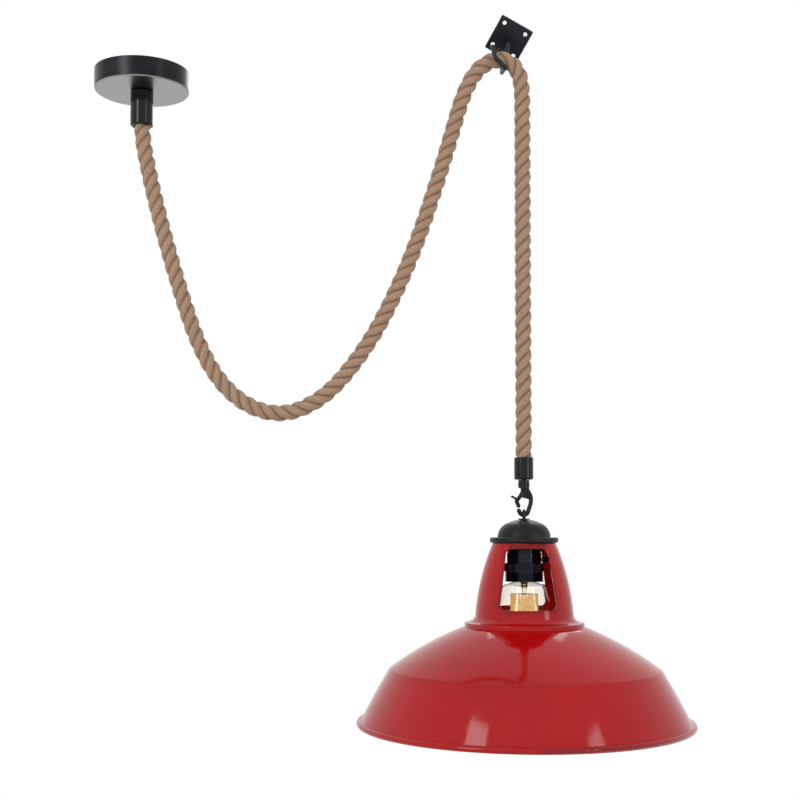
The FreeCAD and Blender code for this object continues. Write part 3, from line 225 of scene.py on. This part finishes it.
def wire_cage(name, low, high, wires, thick):
    """A squirrel-cage winding: one wire that runs up and down round a drum.

    With p the phase, its height is middle + half sin p and its angle (p - sin 2p / 2) / turns, so
    it stands upright between the hairpins. The wire's section is a ring square to its path.
    """
    rings, around = wires * 12, 6
    phase = np.linspace(0, math.pi * wires, rings, endpoint=False)
    angle = (phase - 0.5 * np.sin(2 * phase)) * 2 / wires
    middle, half = (low + high) / 2, (high - low) / 2
    outward = np.stack([np.cos(angle), np.sin(angle), np.zeros(rings)], axis=1)
    rise = np.array([0, 0, 1]) * (half[2] - thick) * np.sin(phase)[:, None]
    line = middle + outward * (half[0] - thick) + rise
    heading = np.roll(line, -1, axis=0) - np.roll(line, 1, axis=0)
    across = np.cross(heading, outward)
    across /= np.linalg.norm(across, axis=1)[:, None]
    level = np.cross(across, heading)
    level /= np.linalg.norm(level, axis=1)[:, None]
    turn = np.linspace(0, 2 * math.pi, around, endpoint=False)[None, :, None]
    ring = np.cos(turn) * level[:, None] + np.sin(turn) * across[:, None]
    points = line[:, None] + thick * ring
    i, j = np.meshgrid(np.arange(rings), np.arange(around), indexing="ij")
    after, beside = (i + 1) % rings, (j + 1) % around
    quads = np.stack([i * around + j, i * around + beside,
                      after * around + beside, after * around + j], axis=-1)
    return mesh_piece(name, points.reshape(-1, 3), quads.reshape(-1, 4).tolist())


def fibre_skin(name, line, settings, seed):
    """Loose fibres: flat ribbons of three faces that leave the rope at a slant.

    A fibre's middle is base + l (t e + (t^2) c n), with e its slant along and round the rope, n
    straight out and c its lift. Its width falls to an eighth at the tip.
    """
    rng = np.random.default_rng(seed)
    even, reach, heading = even_line(line, FIBRE_STEP)
    count = int(settings.fibre_count * reach[-1])
    spot = rng.integers(4, len(even) - 4, count)
    turn = rng.uniform(0, 2 * math.pi, count)[:, None]
    front = np.tile([0.0, 1.0, 0.0], (count, 1))
    along = heading[spot]
    side = np.cross(front, along)
    out = np.cos(turn) * side + np.sin(turn) * front
    round_way = np.cross(along, out)
    base = even[spot] + out * settings.rope_diameter * 0.44
    length = (settings.fibre_length * rng.uniform(0.5, 1.5, count))[:, None]
    way = rng.choice([-1, 1], count)[:, None]
    slant = along * way + round_way * rng.uniform(-0.7, 0.7, count)[:, None]
    slant /= np.linalg.norm(slant, axis=1)[:, None]
    lift = rng.uniform(0.1, 0.34, count)[:, None]
    steps = np.array([0.0, 0.4, 0.75, 1.0])
    middle = np.stack([base + length * (t * slant + t * t * lift * out) for t in steps], axis=1)
    broad = np.cross(slant, out)
    broad /= np.linalg.norm(broad, axis=1)[:, None]
    width = FIBRE_WIDTH * np.array([1, 0.85, 0.55, 0.12])[None, :, None]
    left, right = middle - broad[:, None] * width, middle + broad[:, None] * width
    points = np.stack([left, right], axis=2).reshape(-1, 3)
    start = (np.arange(count) * 8)[:, None, None]
    cell = np.array([[0, 1, 3, 2], [2, 3, 5, 4], [4, 5, 7, 6]])[None]
    return mesh_piece(name, points, (start + cell).reshape(-1, 4).tolist(), smooth=False)


# ---------------------------------------------------------------- materials

def new_finish(name):
    """A material with its nodes, links and shader."""
    finish = bpy.data.materials.new(name)
    finish.use_nodes = True
    return finish, finish.node_tree, finish.node_tree.nodes["Principled BSDF"]


def place_node(tree, kind, **sockets):
    """A node of one kind, with numbers set on its sockets or sockets linked to them."""
    node = tree.nodes.new(kind)
    for label, given in sockets.items():
        socket = node.inputs[label.replace("_", " ")]
        if isinstance(given, bpy.types.NodeSocket):
            tree.links.new(given, socket)
        else:
            socket.default_value = given
    return node


def coordinates(tree):
    """Object coordinates."""
    return tree.nodes.new("ShaderNodeTexCoord").outputs["Object"]


def noise(tree, vector, scale, detail, rough=0.55):
    """Grain at one scale, from 0 to 1."""
    return place_node(tree, "ShaderNodeTexNoise", Vector=vector, Scale=scale, Detail=detail,
                      Roughness=rough).outputs["Fac"]


def ramp(tree, factor, *stops):
    """A colour ramp from (place, colour) pairs."""
    node = place_node(tree, "ShaderNodeValToRGB", Fac=factor)
    while len(node.color_ramp.elements) < len(stops):
        node.color_ramp.elements.new(0.5)
    for element, (spot, colour) in zip(node.color_ramp.elements, stops):
        element.position = spot
        element.color = (*colour, 1)
    return node.outputs["Color"]


def span(tree, value, low, high, out_low, out_high):
    """A value moved from one range to another."""
    node = tree.nodes.new("ShaderNodeMapRange")
    tree.links.new(value, node.inputs["Value"])
    for label, number in (("From Min", low), ("From Max", high),
                          ("To Min", out_low), ("To Max", out_high)):
        node.inputs[label].default_value = number
    return node.outputs["Result"]


def mixed(tree, factor, first, second):
    """Two colours mixed by a factor."""
    node = tree.nodes.new("ShaderNodeMix")
    node.data_type = "RGBA"
    tree.links.new(factor, node.inputs[0])
    # The colour sockets of a Mix node share their names with its number sockets.
    for index, given in ((6, first), (7, second)):
        if isinstance(given, bpy.types.NodeSocket):
            tree.links.new(given, node.inputs[index])
        else:
            node.inputs[index].default_value = (*given, 1)
    return node.outputs[2]


def bumped(tree, shader, height, strength, distance):
    """Relief on a shader from a height."""
    node = place_node(tree, "ShaderNodeBump", Height=height, Strength=strength, Distance=distance)
    tree.links.new(node.outputs["Normal"], shader.inputs["Normal"])


def scaled(colour, share):
    """A colour made lighter or darker."""
    return tuple(min(1.0, channel * share) for channel in colour)


def worked_metal(name, colour, rough, vary=0.2, metallic=1.0, sheen=0.5):
    """Metal or paint on metal: uneven sheen, faint blotches and a fine grain in the relief."""
    finish, tree, shader = new_finish(name)
    vector = coordinates(tree)
    blotch, fine = noise(tree, vector, 38, 5), noise(tree, vector, 1560, 3)
    tone = ramp(tree, blotch, (0.3, scaled(colour, 1 - vary)), (0.7, scaled(colour, 1 + vary)))
    tree.links.new(tone, shader.inputs["Base Color"])
    tree.links.new(span(tree, blotch, 0.25, 0.75, rough - 0.05, rough + 0.05),
                   shader.inputs["Roughness"])
    shader.inputs["Metallic"].default_value = metallic
    shader.inputs["Specular IOR Level"].default_value = sheen
    bumped(tree, shader, fine, 0.16, 0.00012)
    return finish


def gloss_paint(name, colour, rough):
    """Stoved gloss paint: long orange-peel relief under a smooth coat, with dust specks."""
    finish, tree, shader = new_finish(name)
    vector = coordinates(tree)
    peel, speck = noise(tree, vector, 190, 2), noise(tree, vector, 900, 2)
    tone = ramp(tree, speck, (0.3, scaled(colour, 0.86)), (0.62, colour),
                (0.8, scaled(colour, 1.3)))
    tree.links.new(tone, shader.inputs["Base Color"])
    tree.links.new(span(tree, peel, 0.3, 0.7, rough * 0.8, rough * 1.25),
                   shader.inputs["Roughness"])
    shader.inputs["Specular IOR Level"].default_value = 0.2
    shader.inputs["Coat Weight"].default_value = 0.08
    shader.inputs["Coat Roughness"].default_value = 0.05
    bumped(tree, shader, peel, 0.1, 0.0002)
    return finish


def enamel(settings):
    """Vitreous enamel: deep red with a faint cloud, darker on sharp edges and in fine pits."""
    finish, tree, shader = new_finish("enamel_red")
    vector = coordinates(tree)
    cloud, peel = noise(tree, vector, 9, 3), noise(tree, vector, 120, 2)
    speck = noise(tree, vector, 1400, 2)
    body = ramp(tree, cloud, (0.35, scaled(settings.enamel, 0.9)),
                (0.65, scaled(settings.enamel, 1.06)))
    edge = place_node(tree, "ShaderNodeNewGeometry").outputs["Pointiness"]
    worn = ramp(tree, edge, (0.515, (0, 0, 0)), (0.56, (1, 1, 1)))
    tone = mixed(tree, worn, body, scaled(settings.enamel, 0.45))
    pits = ramp(tree, speck, (0.74, (0, 0, 0)), (0.8, (0.5, 0.5, 0.5)))
    tone = mixed(tree, pits, tone, scaled(settings.enamel, 0.55))
    tree.links.new(tone, shader.inputs["Base Color"])
    tree.links.new(span(tree, peel, 0.3, 0.7, 0.07, 0.12), shader.inputs["Roughness"])
    shader.inputs["Specular IOR Level"].default_value = 0.2
    shader.inputs["Coat Weight"].default_value = 0.12
    shader.inputs["Coat Roughness"].default_value = 0.06
    bumped(tree, shader, peel, 0.12, 0.0003)
    return finish


def jute(settings):
    """Jute: fine streaks, with painted shade between the strands, and a dull fibrous relief."""
    finish, tree, shader = new_finish("jute_fibre")
    lay = tree.nodes.new("ShaderNodeUVMap")
    lay.uv_map = "lay"
    mapping = place_node(tree, "ShaderNodeMapping", Vector=lay.outputs["UV"])
    mapping.inputs["Scale"].default_value = (46, 420, 1)
    streak = noise(tree, mapping.outputs["Vector"], 1.0, 6, 0.75)
    blotch = noise(tree, coordinates(tree), 55, 3)
    groove_shade = tree.nodes.new("ShaderNodeAttribute")
    groove_shade.attribute_name = "groove_shade"
    light = ramp(tree, streak, (0.3, scaled(settings.jute, 0.5)), (0.5, settings.jute),
                 (0.7, scaled(settings.jute, 1.5)))
    light = mixed(tree, span(tree, blotch, 0.3, 0.7, 0.0, 0.28), light,
                  scaled(settings.jute, 0.74))
    # Painted shade: the jute darkens towards the groove colour deep between the strands.
    depth = span(tree, groove_shade.outputs["Fac"], 0.35, 0.95, 0.0, 0.85)
    tree.links.new(mixed(tree, depth, light, settings.jute_painted_shade), shader.inputs["Base Color"])
    tree.links.new(span(tree, streak, 0.2, 0.8, 0.95, 0.78), shader.inputs["Roughness"])
    shader.inputs["Specular IOR Level"].default_value = 0.2
    shader.inputs["Sheen Weight"].default_value = 0.25
    bumped(tree, shader, streak, 1.0, 0.0009)
    return finish


def fibre_finish(settings):
    """Loose jute fibres, paler than the rope."""
    finish, tree, shader = new_finish("jute_loose")
    grain = noise(tree, coordinates(tree), 400, 2)
    tone = ramp(tree, grain, (0.3, scaled(settings.jute, 0.9)), (0.7, scaled(settings.jute, 1.5)))
    tree.links.new(tone, shader.inputs["Base Color"])
    shader.inputs["Roughness"].default_value = 0.85
    return finish


def rose_finish(settings):
    """Black nickel: dark round the side, with brushed rings on the underside in a lighter tone
    that is painted light.
    """
    finish, tree, shader = new_finish("nickel_black")
    split = place_node(tree, "ShaderNodeSeparateXYZ", Vector=coordinates(tree))
    reach = place_node(tree, "ShaderNodeVectorMath")
    reach.operation = "LENGTH"
    flat = place_node(tree, "ShaderNodeCombineXYZ", X=split.outputs["X"], Y=split.outputs["Y"])
    tree.links.new(flat.outputs["Vector"], reach.inputs[0])
    line = place_node(tree, "ShaderNodeCombineXYZ",
                      X=span(tree, reach.outputs["Value"], 0, 0.05, 0, 60))
    rings = noise(tree, line.outputs["Vector"], 1.0, 5, 0.6)
    # The underside begins where the cup's side ends, at a height of -20 mm.
    under = span(tree, split.outputs["Z"], -0.0195, -0.0205, 0.0, 1.0)
    side_tone = ramp(tree, noise(tree, coordinates(tree), 30, 4),
                     (0.3, scaled(settings.rose_metal, 0.7)),
                     (0.7, scaled(settings.rose_metal, 1.3)))
    # Painted light: the underside's light grey stands in for the light it catches; its brushed
    # rings are real.
    underside_painted_light = ramp(tree, rings, (0.3, (0.25, 0.25, 0.252)), (0.7, (0.36, 0.36, 0.362)))
    tree.links.new(mixed(tree, under, side_tone, underside_painted_light), shader.inputs["Base Color"])
    tree.links.new(span(tree, rings, 0.3, 0.7, 0.24, 0.36), shader.inputs["Roughness"])
    shader.inputs["Metallic"].default_value = 1.0
    bumped(tree, shader, rings, 0.08, 0.0001)
    return finish


def glass(name, colour, rough=0.01):
    """Blown glass with a slow ripple and a trace of unevenness."""
    finish, tree, shader = new_finish(name)
    ripple = noise(tree, coordinates(tree), 26, 2)
    tone = ramp(tree, ripple, (0.35, scaled(colour, 0.97)), (0.65, colour))
    tree.links.new(tone, shader.inputs["Base Color"])
    shader.inputs["Roughness"].default_value = rough
    shader.inputs["Transmission Weight"].default_value = 1.0
    shader.inputs["IOR"].default_value = 1.46
    bumped(tree, shader, ripple, 0.05, 0.0004)
    return finish


def filament_finish():
    """Carbon wire with a warm low glow that is uneven along its length."""
    finish, tree, shader = new_finish("filament_amber")
    grain = noise(tree, coordinates(tree), 160, 3)
    warm = ramp(tree, grain, (0.3, (0.42, 0.245, 0.075)), (0.7, (0.62, 0.41, 0.15)))
    tree.links.new(warm, shader.inputs["Base Color"])
    tree.links.new(warm, shader.inputs["Emission Color"])
    shader.inputs["Emission Strength"].default_value = 0.85
    shader.inputs["Roughness"].default_value = 0.45
    return finish


def ceramic_finish(name, colour):
    """Glazed ceramic or moulded terminal plastic with a soft mottle."""
    finish, tree, shader = new_finish(name)
    vector = coordinates(tree)
    mottle, fine = noise(tree, vector, 70, 4), noise(tree, vector, 700, 2)
    tone = ramp(tree, mottle, (0.3, scaled(colour, 0.9)), (0.7, colour))
    tree.links.new(tone, shader.inputs["Base Color"])
    tree.links.new(span(tree, mottle, 0.3, 0.7, 0.28, 0.42), shader.inputs["Roughness"])
    bumped(tree, shader, fine, 0.12, 0.0001)
    return finish


def dress(finish, *names):
    """Gives CAD nodes a finish in place of their packed one."""
    for name in names:
        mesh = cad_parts[name].data
        mesh.materials.clear()
        mesh.materials.append(finish)


# ---------------------------------------------------------------- operators

class PENDANT_OT_rope(bpy.types.Operator):
    """Lays the three-strand rope along its swag and its straight drop"""

    bl_idname = "pendant.rope"
    bl_label = "Rope"

    def execute(self, context):
        settings = context.scene.pendant
        finish, loose = jute(settings), fibre_finish(settings)
        swag_line, drop_line = spline_line(SWAG_ROUTE), spline_line(DROP_ROUTE)
        swag, swag_path, reach = rope_skin("rope_swag_lay", swag_line, 0.0, settings)
        drop, drop_path, _ = rope_skin("rope_drop_lay", drop_line, reach[-1], settings)
        near_rose = swag_line[:, 0] < 0.02
        covered = near_rose & (swag_line[:, 2] > SLEEVE_MOUTH[2] - FIBRE_MARGIN)
        bare_drop = drop_line[drop_line[:, 2] > FERRULE_MOUTH[2] + FIBRE_MARGIN]
        bare_drop = even_line(bare_drop, FIBRE_STEP)[0]
        swag_fibres = fibre_skin("rope_swag_fibres", swag_line[~covered], settings, 11)
        drop_fibres = fibre_skin("rope_drop_fibres", bare_drop, settings, 12)
        for piece, skin in ((swag, finish), (drop, finish),
                            (swag_fibres, loose), (drop_fibres, loose)):
            piece.data.materials.append(skin)
        for piece in (swag, swag_fibres):
            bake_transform(piece)
        for piece in (drop, drop_fibres):
            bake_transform(piece)
        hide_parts("rope_swag")
        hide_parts("rope_drop")
        return {"FINISHED"}


class PENDANT_OT_rose(bpy.types.Operator):
    """Finishes the ceiling rose, its sleeve and what they hold"""

    bl_idname = "pendant.rose"
    bl_label = "Ceiling rose"

    def execute(self, context):
        settings = context.scene.pendant
        dress(rose_finish(settings), "rose_cup")
        dress(gloss_paint("sleeve_black", (0.006, 0.0058, 0.0028), 0.12), "stem")
        dress(worked_metal("zinc_plate", (0.5, 0.51, 0.53), 0.36), "rose_bracket", "rose_nipple",
              "nipple_nut", "nipple_locknut", "earth_screw")
        dress(worked_metal("steel_screw", (0.36, 0.36, 0.37), 0.34), "stem_screw", "ferrule_screw",
              "terminal_screw_1", "terminal_screw_2", "terminal_screw_3")
        dress(ceramic_finish("terminal_white", (0.72, 0.71, 0.67)), "terminal_block")
        return {"FINISHED"}


class PENDANT_OT_ceiling_hook(bpy.types.Operator):
    """Finishes the square plate and the open hook"""

    bl_idname = "pendant.ceiling_hook"
    bl_label = "Ceiling hook"

    def execute(self, context):
        satin = worked_metal("plate_satin", (0.006, 0.008, 0.014), 0.3, metallic=0.0, vary=0.35,
                             sheen=0.3)
        dress(satin, "hook_plate", "plate_hook")
        return {"FINISHED"}


class PENDANT_OT_rope_end(bpy.types.Operator):
    """Finishes the ferrule, the swivel and the snap hook"""

    bl_idname = "pendant.rope_end"
    bl_label = "Ferrule and snap hook"

    def execute(self, context):
        black = gloss_paint("fitting_black", context.scene.pendant.gloss_black, 0.16)
        dress(black, "ferrule", "snap_body", "snap_gate")
        dress(worked_metal("pin_steel", (0.05, 0.05, 0.055), 0.3), "gate_pin", "swivel_stud")
        return {"FINISHED"}


class PENDANT_OT_cap(bpy.types.Operator):
    """Finishes the cap, its eye and the fixings under it"""

    bl_idname = "pendant.cap"
    bl_label = "Cap"

    def execute(self, context):
        settings = context.scene.pendant
        matt = worked_metal("cap_matt", settings.matt_black, 0.42, metallic=0.0, sheen=0.22)
        dress(matt, "cap_dome")
        dress(gloss_paint("eye_black", settings.gloss_black, 0.2), "cap_eye")
        dress(worked_metal("fixing_zinc", (0.44, 0.45, 0.47), 0.38), "cap_coupler", "cap_nipple",
              "shade_nut")
        return {"FINISHED"}


class PENDANT_OT_shade(bpy.types.Operator):
    """Finishes the windowed enamel shade"""

    bl_idname = "pendant.shade"
    bl_label = "Shade"

    def execute(self, context):
        dress(enamel(context.scene.pendant), "shade_shell")
        return {"FINISHED"}


class PENDANT_OT_lampholder(bpy.types.Operator):
    """Finishes the lampholder, its inside and its switch key"""

    bl_idname = "pendant.lampholder"
    bl_label = "Lampholder"

    def execute(self, context):
        black = gloss_paint("holder_black", (0.004, 0.009, 0.019), 0.13)
        dress(black, "holder_cap", "holder_ring", "holder_skirt", "key_knob")
        dress(ceramic_finish("insert_ceramic", (0.78, 0.76, 0.7)), "holder_insert")
        dress(worked_metal("brass", (0.62, 0.43, 0.16), 0.28), "holder_sleeve", "holder_contact",
              "key_shaft")
        return {"FINISHED"}


class PENDANT_OT_bulb(bpy.types.Operator):
    """Finishes the clear bulb and its wound filament"""

    bl_idname = "pendant.bulb"
    bl_label = "Bulb"

    def execute(self, context):
        dress(glass("bulb_clear", (1.0, 0.985, 0.94)), "bulb_glass")
        dress(glass("mount_glass", (0.96, 0.78, 0.5), 0.05), "bulb_stem")
        low, high = (np.array(corner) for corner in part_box("bulb_filament"))
        winding = wire_cage("filament_winding", low, high, WINDING_RUNS, WINDING_RADIUS)
        winding.data.materials.append(filament_finish())
        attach(winding, "bulb")
        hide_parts("bulb_filament")
        dress(worked_metal("support_wire", (0.42, 0.33, 0.2), 0.34), "bulb_support_top",
              "bulb_support_foot")
        dress(worked_metal("cap_metal", (0.58, 0.57, 0.54), 0.27), "bulb_cap", "bulb_contact")
        dress(ceramic_finish("insulator_black", (0.02, 0.02, 0.022)), "bulb_insulator")
        return {"FINISHED"}


def seen_directly(tree):
    """1 for rays from the camera, off gloss or through glass, which see the white ground."""
    path = tree.nodes.new("ShaderNodeLightPath")
    total = path.outputs["Is Camera Ray"]
    for label in ("Is Glossy Ray", "Is Transmission Ray"):
        both = tree.nodes.new("ShaderNodeMath")
        both.operation = "MAXIMUM"
        tree.links.new(total, both.inputs[0])
        tree.links.new(path.outputs[label], both.inputs[1])
        total = both.outputs[0]
    return total


class PENDANT_OT_stage(bpy.types.Operator):
    """Makes the pale floor, the white ground, the studio lamps and the camera"""

    bl_idname = "pendant.stage"
    bl_label = "Stage"

    def execute(self, context):
        scene = context.scene
        scene.view_settings.view_transform = "Standard"
        world = bpy.data.worlds.new("studio")
        scene.world = world
        world.use_nodes = True
        tree = world.node_tree
        ground = tree.nodes["Background"]
        tree.links.new(span(tree, seen_directly(tree), 0, 1, 0.5, 1.0), ground.inputs["Strength"])
        ground.inputs["Color"].default_value = (1, 1, 1, 1)
        corners = [(x * FLOOR_HALF, y * FLOOR_HALF, FLOOR_HEIGHT)
                   for x, y in ((-1, -1), (1, -1), (1, 1), (-1, 1))]
        floor = mesh_piece("floor", corners, [(0, 1, 2, 3)], smooth=False)
        finish, tree, shader = new_finish("floor_pale")
        shader.inputs["Base Color"].default_value = (0.86, 0.86, 0.86, 1)
        shader.inputs["Roughness"].default_value = 0.9
        glow = place_node(tree, "ShaderNodeEmission", Strength=1.0)
        blend = tree.nodes.new("ShaderNodeMixShader")
        # The floor fades to the white ground away from the object and keeps its shadow near it.
        away = place_node(tree, "ShaderNodeVectorMath", Vector=coordinates(tree))
        away.operation = "DISTANCE"
        away.inputs[1].default_value = (0.35, 0.1, FLOOR_HEIGHT)
        share = span(tree, away.outputs["Value"], 0.35, 1.15, 0.86, 1.0)
        shown = tree.nodes.new("ShaderNodeMath")
        shown.operation = "MULTIPLY"
        tree.links.new(share, shown.inputs[0])
        tree.links.new(seen_directly(tree), shown.inputs[1])
        tree.links.new(shown.outputs[0], blend.inputs[0])
        tree.links.new(shader.outputs[0], blend.inputs[1])
        tree.links.new(glow.outputs[0], blend.inputs[2])
        tree.links.new(blend.outputs[0], tree.nodes["Material Output"].inputs["Surface"])
        floor.data.materials.append(finish)
        middle = Vector((0.27, 0, -0.4))
        for name, spot, wide, tall, power in (
                ("key_lamp", (-0.95, -1.5, 0.35), 0.5, 1.3, 13.0),
                ("fill_lamp", (1.75, -1.25, 0.0), 0.35, 1.3, 7.0),
                ("back_lamp", (0.6, 1.7, 0.7), 1.0, 1.0, 7.0)):
            lamp = bpy.data.lights.new(name, "AREA")
            lamp.shape, lamp.size, lamp.size_y, lamp.energy = "RECTANGLE", wide, tall, power
            holder = bpy.data.objects.new(name, lamp)
            scene.collection.objects.link(holder)
            holder.location = spot
            holder.rotation_euler = (middle - Vector(spot)).to_track_quat("-Z", "Y").to_euler()
        lens = bpy.data.cameras.new("camera")
        lens.lens, lens.sensor_width, lens.shift_y = 56.25, 36.0, 0.0972
        camera = bpy.data.objects.new("camera", lens)
        scene.collection.objects.link(camera)
        camera.location = (0.2765, -1.322, -0.488)
        camera.rotation_euler = (math.radians(92.3), 0, 0)
        scene.camera = camera
        return {"FINISHED"}


class PENDANT_PT_panel(bpy.types.Panel):
    """Lists the pendant's pieces"""

    bl_idname = "PENDANT_PT_panel"
    bl_label = "Rise and Fall Pendant"
    bl_space_type = "VIEW_3D"
    bl_region_type = "UI"
    bl_category = "Pendant"

    def draw(self, context):
        for item in PendantSettings.__annotations__:
            self.layout.prop(context.scene.pendant, item)
        for operator in OPERATORS:
            self.layout.operator(operator.bl_idname)


OPERATORS = (PENDANT_OT_rope, PENDANT_OT_rose, PENDANT_OT_ceiling_hook, PENDANT_OT_rope_end,
             PENDANT_OT_cap, PENDANT_OT_shade, PENDANT_OT_lampholder, PENDANT_OT_bulb,
             PENDANT_OT_stage)


def register():
    """Registers the settings, the operators and the panel."""
    for item in (PendantSettings, *OPERATORS, PENDANT_PT_panel):
        bpy.utils.register_class(item)
    bpy.types.Scene.pendant = bpy.props.PointerProperty(type=PendantSettings)


def unregister():
    """Takes them away again."""
    del bpy.types.Scene.pendant
    for item in (PENDANT_PT_panel, *reversed(OPERATORS), PendantSettings):
        bpy.utils.unregister_class(item)


def main():
    """Makes every piece in order."""
    register()
    for operator in OPERATORS:
        group, action = operator.bl_idname.split(".")
        getattr(getattr(bpy.ops, group), action)()


if __name__ == "__main__":
    main()
